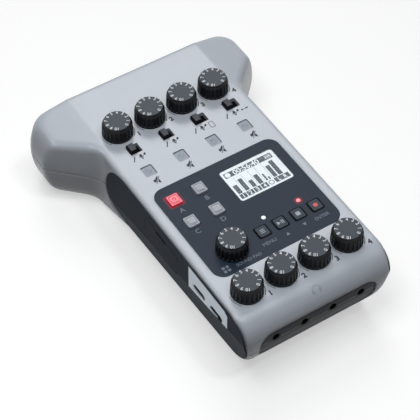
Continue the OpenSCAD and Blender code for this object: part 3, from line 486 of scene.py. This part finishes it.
def line(points, width, closed, taper):
    """Left and right side of a stroke along some points, mitred at its bends; its width ends at taper times width"""
    n = len(points)
    left, right = [], []
    for i, (x, y) in enumerate(points):
        before = points[i - 1] if closed or i else points[i]
        after = points[(i + 1) % n] if closed or i < n - 1 else points[i]
        directions = []
        for p, q in ((before, (x, y)), ((x, y), after)):
            length = hypot(q[0] - p[0], q[1] - p[1])
            if length > TINY:
                directions.append(((q[0] - p[0]) / length, (q[1] - p[1]) / length))
        dx = sum(d[0] for d in directions) / len(directions)
        dy = sum(d[1] for d in directions) / len(directions)
        square = dx * dx + dy * dy
        half = width / 2 * (1 + (taper - 1) * i / max(1, n - 1)) / square
        left.append((x - dy * half, y + dx * half))
        right.append((x + dy * half, y - dx * half))
    return left, right


def stroke(bm, points, width, z, closed=False, taper=1.0, thick=INK):
    """A raised line along some points, or a frame if closed"""
    left, right = line(points, width, closed, taper)
    if not closed:
        plate(bm, right + left[::-1], z, thick)
        return
    n = len(points)
    rings = [[bm.verts.new((x, y, h)) for x, y in side] for h in (z, z + thick) for side in (left, right)]
    low_left, low_right, high_left, high_right = rings
    for i in range(n):
        j = (i + 1) % n
        bm.faces.new((high_left[j], high_left[i], high_right[i], high_right[j]))
        bm.faces.new((low_left[i], low_left[j], low_right[j], low_right[i]))
        bm.faces.new((high_left[i], high_left[j], low_left[j], low_left[i]))
        bm.faces.new((high_right[j], high_right[i], low_right[i], low_right[j]))


def turned(points, x, y, degrees=0.0):
    """Some points turned about the origin, then moved by x, y"""
    c, s = cos(radians(degrees)), sin(radians(degrees))
    return [(x + c * px - s * py, y + s * px + c * py) for px, py in points]


# Lettering already made, by its text and boldness, and the share of the font's size that its capitals take
LETTER_MESHES = {}
CAP_SHARE = 0.69
LETTER_STEPS = 4


def letters(bm, text, height, x, y, z, degrees=0.0, bold=0.0, wide=1.0, thick=INK):
    """Lettering whose capitals are height tall, centred on x, y

    bold is how far its strokes grow, as a share of the font's size, and wide stretches it sideways.
    """
    key = (text, bold)
    if key not in LETTER_MESHES:
        curve = bpy.data.curves.new("lettering", "FONT")
        curve.body = text
        curve.align_x = "CENTER"
        curve.offset = bold
        curve.resolution_u = LETTER_STEPS
        curve.extrude = 0.5  # to each side, so one unit thick before it is scaled
        holder = bpy.data.objects.new("lettering", curve)
        scene.collection.objects.link(holder)
        bpy.context.view_layer.update()
        seen = holder.evaluated_get(bpy.context.evaluated_depsgraph_get())
        LETTER_MESHES[key] = bpy.data.meshes.new_from_object(seen)
        bpy.data.objects.remove(holder)
        bpy.data.curves.remove(curve)
    size = height / CAP_SHARE
    place = (Matrix.Translation((x, y, z + thick / 2)) @ Matrix.Rotation(radians(degrees), 4, "Z")
             @ Matrix.Diagonal((size * wide, size, thick, 1)) @ Matrix.Translation((0, -CAP_SHARE / 2, 0)))
    count = len(bm.verts)
    bm.from_mesh(LETTER_MESHES[key])
    bm.verts.ensure_lookup_table()
    bmesh.ops.transform(bm, matrix=place, verts=bm.verts[count:])


def make_piece(name, body, look, bm):
    """A finished piece, scaled from millimetres, riding on a body"""
    bmesh.ops.scale(bm, vec=(MM, MM, MM), verts=bm.verts)
    bmesh.ops.recalc_face_normals(bm, faces=bm.faces)
    mesh = bpy.data.meshes.new(name)
    bm.to_mesh(mesh)
    bm.free()
    mesh.materials.append(LOOKS[look])
    obj = bpy.data.objects.new(name, mesh)
    scene.collection.objects.link(obj)
    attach(obj, body)


def top_of(node):
    """Height of a node's top, in millimetres"""
    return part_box(node)[1][2] / MM


def middle_of(node):
    """Middle of a node seen from above, in millimetres"""
    low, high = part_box(node)
    return (low[0] + high[0]) / 2 / MM, (low[1] + high[1]) / 2 / MM


# Knob numbers: their distance from the knob's middle, their height, how many degrees they are apart, and where 0 is
NUMBER_R = 4.95
NUMBER_H = 1.55
NUMBER_STEP = 30
ZERO_AT = -60


def make_knob_numbers():
    """0 to 10 round each cap, with 5 at the back"""
    for knob in NODE_MATERIALS["knob_rubber"]:
        x, y = middle_of(knob)
        z = top_of(knob)
        bm = bmesh.new()
        for number in range(11):
            degrees = NUMBER_STEP * number + ZERO_AT
            a = radians(degrees)
            letters(bm, str(number), NUMBER_H, x + NUMBER_R * cos(a), y + NUMBER_R * sin(a), z, degrees - 90,
                    bold=0.012, wide=0.95)
        make_piece(knob + "_numbers", knob, "ink_white", bm)


# Prints on the silver top: the arcs beside each knob, by radius, start and end in degrees, width at the start and the
# share of it left at the end
KNOB_ARCS = ((7.65, -46, 25, 0.4, 0.5), (7.75, 220, 165, 0.3, 0.3))
# Channel numerals: their height, how far right of the knob they are, and how far in front of it in each row
NUMERAL_H = 2.4
NUMERAL_RIGHT = 7.8
NUMERAL_FRONT = {GAIN_Y: 5.6, VOLUME_Y: 5.7}
# Marks in front of the input switches: a slanted tick, a microphone and a spot for each, a telephone beside the third
# and an arrow with a dot beside the fourth
TICK_X = (-27.2, -10.3, 4.7, 21.4)
TICK_Y = (28.6, 25.8)
MICROPHONE_X = (-23.55, -6.45, 8.25, 25.45)
MICROPHONE_Y = 27.2
TELEPHONE = (12.0, 25.1, 14.05, 28.7)
ARROW_Y = 27.1
THIN_LINE = 0.26
# Muted speakers in front of the mute keys
SPEAKER_X = (-24.7, -7.8, 9.0, 25.7)
SPEAKER_Y = 11.6


def microphone(bm, x, y, z):
    """An upright microphone in its stand"""
    plate(bm, oval(x, y + 0.5, 0.66, 1.0, 20), z)
    stroke(bm, oval(x, y + 0.3, 0.95, 1.15, 12, 180, 360), THIN_LINE, z)
    stroke(bm, [(x, y - 0.7), (x, y - 1.65)], 0.5, z)


def muted_speaker(bm, x, y, z):
    """A speaker cut in two by a slash"""
    plate(bm, turned([(-1.8, -0.7), (-0.9, -0.7), (0.9, 1.34), (0.9, 2.3), (-0.9, 0.8), (-1.8, 0.8)], x, y), z)
    plate(bm, turned([(-0.37, -1.15), (0.9, -2.2), (0.9, 0.28)], x, y), z)
    stroke(bm, turned([(-1.5, -1.9), (1.6, 1.6)], x, y), 0.3, z)


def make_top_prints():
    bm = bmesh.new()
    z = TOP_Z
    for i, x in enumerate(CHANNEL_X):
        for y, front in NUMERAL_FRONT.items():
            for radius, a0, a1, width, taper in KNOB_ARCS:
                stroke(bm, oval(x, y, radius, n=18, a0=a0, a1=a1), width, z, taper=taper)
            letters(bm, str(i + 1), NUMERAL_H, x + NUMERAL_RIGHT, y - front, z, bold=0.045)
    for x in TICK_X:
        stroke(bm, [(x + 0.95, TICK_Y[0]), (x - 0.75, TICK_Y[1])], 0.52, z)
    for x in MICROPHONE_X:
        microphone(bm, x, MICROPHONE_Y, z)
        plate(bm, turned(oval(0, 0, 0.52, 0.75), x + 2.0, MICROPHONE_Y + 0.7, -30), z)
    stroke(bm, box(*TELEPHONE, 0.35), THIN_LINE, z, closed=True)
    stroke(bm, [(29.2, ARROW_Y), (32.0, ARROW_Y)], THIN_LINE, z)
    plate(bm, oval(29.4, ARROW_Y, 0.45), z)
    plate(bm, [(31.6, ARROW_Y - 0.6), (32.8, ARROW_Y), (31.6, ARROW_Y + 0.6)], z)
    for x in SPEAKER_X:
        muted_speaker(bm, x, SPEAKER_Y, z)
    make_piece("top_prints", "case", "ink_dark", bm)


# Prints on the fascia: words and letters with their height and place
FASCIA_WORDS = (("A", 2.4, -24.7, -8.6), ("B", 2.4, -11.9, -8.4), ("C", 2.4, -25.1, -22.1), ("D", 2.4, -12.3, -22.1),
                ("MENU", 1.7, -2.8, -43.4), ("ENTER", 1.7, 24.0, -43.6), ("SOUND PAD", 1.5, -15.2, -46.4))
# Arrows up and down, and the sign of four small squares before the words SOUND PAD
UP_ARROW = (6.3, -43.7)
DOWN_ARROW = (15.4, -43.3)
FOUR_SQUARES = (-26.1, -45.8)


def make_fascia_prints():
    bm = bmesh.new()
    z = TOP_Z
    for text, height, x, y in FASCIA_WORDS:
        letters(bm, text, height, x, y, z)
    plate(bm, turned([(-0.9, -0.75), (0.9, -0.75), (0, 0.85)], *UP_ARROW), z)
    plate(bm, turned([(-0.9, 0.75), (0.9, 0.75), (0, -0.85)], *DOWN_ARROW), z)
    x, y = FOUR_SQUARES
    for dx in (-0.95, 0.95):
        for dy in (-0.95, 0.95):
            plate(bm, square_box(x + dx, y + dy, 0.65, 0.15), z)
    make_piece("fascia_prints", "case", "ink_pale", bm)


# Left flank: the wall's X, and its slope below a line that is at BEVEL_Z at BEVEL_Y and rises to the front
SIDE_X = 37.2
BEVEL_SLOPE = 0.22
BEVEL_Z = 15
BEVEL_Y = 20.5
BEVEL_RISE = 0.1325
# Adapter cover: the middle of its outline and its half sides, in Y and Z, and the radius of its corners
COVER = (-11.0, 24.6, 13.3, 6.8)
COVER_CORNER = 2.1
COVER_LINE = 0.4
# Its finger slot: the shadow in it, how deep that lies, and the dark edge above it
NOTCH_SHADOW = (-14.85, 30.05, -7.15, 31.0)
NOTCH_DEPTH = 0.79
NOTCH_EDGE = (-15.0, 31.2, -7.0, 32.0)
# Strip across the nose: its face, and its light line, a painted highlight, with the line's ends and its gaps at the
# jacks
STRIP_Y = -77.0
STRIP_LINE_Z = 23.6
STRIP_END = 28.0
STRIP_LINE = 0.22
JACK_X = [-21.6, -7.2, 7.2, 21.6]
JACK_GAP = 2.6
# Nose: the axis and radius of its curve, and the place of the headphones sign, across and along the curve
NOSE_Y = -65.5
NOSE_Z = 27.2
NOSE_R = 12.0
HEADPHONES = (0.7, 8.0)


def bend(bm, rule):
    """Moves each point of a flat form to its place on a wall"""
    for vertex in bm.verts:
        vertex.co = rule(*vertex.co)


def on_left_flank(y, z, out):
    """Follows the side wall and its slope"""
    below = max(0.0, BEVEL_Z + BEVEL_RISE * (BEVEL_Y - y) - z)
    return -SIDE_X + BEVEL_SLOPE * below - out, y, z


def on_nose(x, along, out):
    """Follows the curve of the nose"""
    a = along / NOSE_R
    return x, NOSE_Y - (NOSE_R + out) * sin(a), NOSE_Z + (NOSE_R + out) * cos(a)


def headphones(bm, x, along):
    """A head band with a cup at each end"""
    stroke(bm, oval(x, along, 1.9, n=16, a0=180, a1=360), 0.32, 0)
    for side in (-1, 1):
        plate(bm, box(x + side * 1.7 - 0.55, along - 0.1, x + side * 1.7 + 0.55, along + 1.7, 0.3), 0)


def make_case_lines():
    bm = bmesh.new()
    y, z, half_l, half_h = COVER
    corners = box(y - half_l, z - half_h, y + half_l, z + half_h, COVER_CORNER)
    stroke(bm, corners, COVER_LINE, 0, closed=True)
    plate(bm, box(*NOTCH_EDGE), 0)
    bend(bm, on_left_flank)
    make_piece("cover_outline", "case", "black_ink_and_shadow", bm)

    # A black sheet deep in the cover's finger slot: a painted shadow
    bm = bmesh.new()
    plate(bm, box(*NOTCH_SHADOW), 0)
    bend(bm, lambda y, z, out: (NOTCH_DEPTH - SIDE_X - out, y, z))
    make_piece("notch_shadow_sheet", "adapter_cover", "black_ink_and_shadow", bm)

    # A light line across the strip at the jacks: a painted highlight along an edge
    bm = bmesh.new()
    ends = [-STRIP_END, *(x + side * JACK_GAP for x in JACK_X for side in (-1, 1)), STRIP_END]
    for x0, x1 in zip(ends[::2], ends[1::2]):
        stroke(bm, [(x0, STRIP_LINE_Z), (x1, STRIP_LINE_Z)], STRIP_LINE, 0)
    bend(bm, lambda x, z, out: (x, STRIP_Y - out, z))
    make_piece("strip_line", "case", "strip_edge_highlight", bm)

    bm = bmesh.new()
    headphones(bm, *HEADPHONES)
    bend(bm, on_nose)
    make_piece("nose_print", "case", "ink_faint", bm)


# Lines on the sound pads: a dark one in the moulded groove round the face, painted shade, and a light one on the rim
# of its raised middle, a painted highlight; as half widths, the height of that middle, the width of the lines, and
# their corner radius as a share of the half width
PAD_GROOVE = 2.03
PAD_RING = 1.27
PAD_RAISED = 0.3
PAD_LINE = 0.2
PAD_CORNER = 0.35


def make_pad_lines():
    for letter in "abcd":
        pad = f"sound_pad_{letter}"
        slot, look = ("pad_lit", "pad_lit") if letter == "a" else ("pad_grey", "pad")
        x, y = middle_of(pad)
        # A darker line in the groove, painted shade, and a lighter one on the raised rim, a painted highlight
        for name, half, z in (("groove", PAD_GROOVE, top_of(pad) - PAD_RAISED), ("ring", PAD_RING, top_of(pad))):
            bm = bmesh.new()
            stroke(bm, square_box(x, y, half, half * PAD_CORNER), PAD_LINE, z, closed=True)
            make_piece(f"{pad}_{name}", pad, f"{look}_{name}", bm)


# Black frames of the transport keys, round openings whose half width is KEY_HALF
KEY_HALF = 2.9
KEY_FRAME = 0.45
KEY_CORNER = 0.9


def make_key_frames():
    bm = bmesh.new()
    for node in TRANSPORT_KEYS:
        x, y = middle_of(node)
        half = KEY_HALF + KEY_FRAME / 2
        stroke(bm, square_box(x, y, half, KEY_CORNER), KEY_FRAME, TOP_Z, closed=True)
    make_piece("key_frames", "case", "black_ink_and_shadow", bm)


def make_key_icons():
    """Three lines, play and pause, stop, and a record dot"""
    for node in TRANSPORT_KEYS:
        x, y = middle_of(node)
        z = top_of(node)
        bm = bmesh.new()
        if node == "menu_key":
            for dy in (-0.85, 0, 0.85):
                stroke(bm, [(x - 1.1, y + dy), (x + 1.1, y + dy)], 0.36, z)
        elif node == "play_key":
            plate(bm, [(x - 1.6, y - 0.95), (x + 0.1, y), (x - 1.6, y + 0.95)], z)
            for dx in (0.7, 1.45):
                stroke(bm, [(x + dx, y - 0.95), (x + dx, y + 0.95)], 0.42, z)
        elif node == "stop_key":
            plate(bm, square_box(x, y, 1.0, 0.12), z)
        else:
            plate(bm, oval(x, y, 1.05), z)
        look = "record_red" if node == "record_key" else "ink_key"
        make_piece(node + "_icon", node, look, bm)


# Display: how deep its picture lies under the glass's top, how thick each layer of the picture and the field behind it
# are, and the field's margin and corner radius, in millimetres
DISPLAY_DEPTH = 0.35
LAYER = 0.04
FIELD_THICK = 0.1
FIELD_MARGIN = 0.08
FIELD_CORNER = 1.2
# Its other sizes, in millimetres: heights of its texts, radius of its record dot and of its circle
TIME_H = 2.55
LABEL_H = 1.9
DOT_R = 1.3
CIRCLE_R = 1.15
# All places on the display are shares of its width and depth, from the back left corner: first the dark head bar, its
# middle, and where across it the record dot and the time stand
HEAD_BAR = (0.045, 0.085, 0.94, 0.24)
HEAD_MIDDLE = 0.163
DOT_AT = 0.105
TIME_AT = 0.45
# Level bars by left, right and top; they stand on BAR_FOOT
BARS = ((0.045, 0.12, 0.50), (0.18, 0.255, 0.39), (0.315, 0.385, 0.55), (0.44, 0.515, 0.475),
        (0.577, 0.605, 0.545), (0.628, 0.656, 0.68), (0.715, 0.785, 0.39), (0.808, 0.885, 0.30))
BAR_FOOT = 0.77
# Thin lines between the bars, by their place across, and their two ends
DIVIDERS = (0.155, 0.29, 0.42, 0.55, 0.685)
DIVIDER_ENDS = (0.27, 0.76)
# Dark labels in front of the bars by left and right, with their back and front edge, and the texts in them
LABELS = ((0.035, 0.15), (0.165, 0.285), (0.30, 0.42), (0.435, 0.555), (0.69, 0.96))
LABEL_EDGES = (0.795, 0.935)
LABEL_MIDDLE = 0.865
LABEL_TEXTS = (("1", 0.092), ("2", 0.225), ("3", 0.36), ("4", 0.495), ("L  R", 0.825))
# A circle among the labels, for the sound pads, and the battery with the cells in it
PAD_CIRCLE = 0.622
BATTERY = (0.815, 0.12, 0.915, 0.205)
BATTERY_CELLS = (0.835, 0.865, 0.895)


def make_display():
    low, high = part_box("display_window")
    x0, x1, y0, y1 = low[0] / MM, high[0] / MM, low[1] / MM, high[1] / MM
    w, d = x1 - x0, y1 - y0
    z = high[2] / MM - DISPLAY_DEPTH

    def spot(a, b):
        return x0 + a * w, y1 - b * d

    def area(a0, b0, a1, b1, r=0.0):
        return box(*spot(a0, b1), *spot(a1, b0), r)

    bm = bmesh.new()
    m = FIELD_MARGIN
    plate(bm, box(x0 + m, y0 + m, x1 - m, y1 - m, FIELD_CORNER), z - FIELD_THICK, FIELD_THICK)
    make_piece("display_field", "case", "lcd_field", bm)

    dark = bmesh.new()
    plate(dark, area(*HEAD_BAR, 0.25), z, LAYER)
    for a0, a1, top in BARS:
        plate(dark, area(a0, top, a1, BAR_FOOT), z, LAYER)
    for a0, a1 in LABELS:
        plate(dark, area(a0, LABEL_EDGES[0], a1, LABEL_EDGES[1]), z, LAYER)
    stroke(dark, oval(*spot(PAD_CIRCLE, LABEL_MIDDLE), CIRCLE_R, n=24), 0.3, z, closed=True, thick=LAYER)
    for a in DIVIDERS:
        stroke(dark, [spot(a, b) for b in DIVIDER_ENDS], 0.07, z, thick=LAYER)
    make_piece("display_marks", "case", "lcd_dot", dark)

    light = bmesh.new()
    over = z + LAYER
    plate(light, oval(*spot(DOT_AT, HEAD_MIDDLE), DOT_R), over, LAYER)
    letters(light, "00:56:40", TIME_H, *spot(TIME_AT, HEAD_MIDDLE), over, bold=0.02, wide=1.05, thick=LAYER)
    stroke(light, area(*BATTERY), 0.2, over, closed=True, thick=LAYER)
    for a in BATTERY_CELLS:
        plate(light, area(a - 0.01, 0.14, a + 0.008, 0.185), over, LAYER)
    for text, a in LABEL_TEXTS:
        letters(light, text, LABEL_H, *spot(a, LABEL_MIDDLE), over, bold=0.02, thick=LAYER)
    make_piece("display_lights", "case", "lcd_field", light)


make_camera()
make_light()
make_floor()
LOOKS = {name: make_material(name, **look) for name, look in MATERIALS.items()}
dress_nodes()
make_knob_numbers()
make_top_prints()
make_fascia_prints()
make_case_lines()
make_pad_lines()
make_key_frames()
make_key_icons()
make_display()
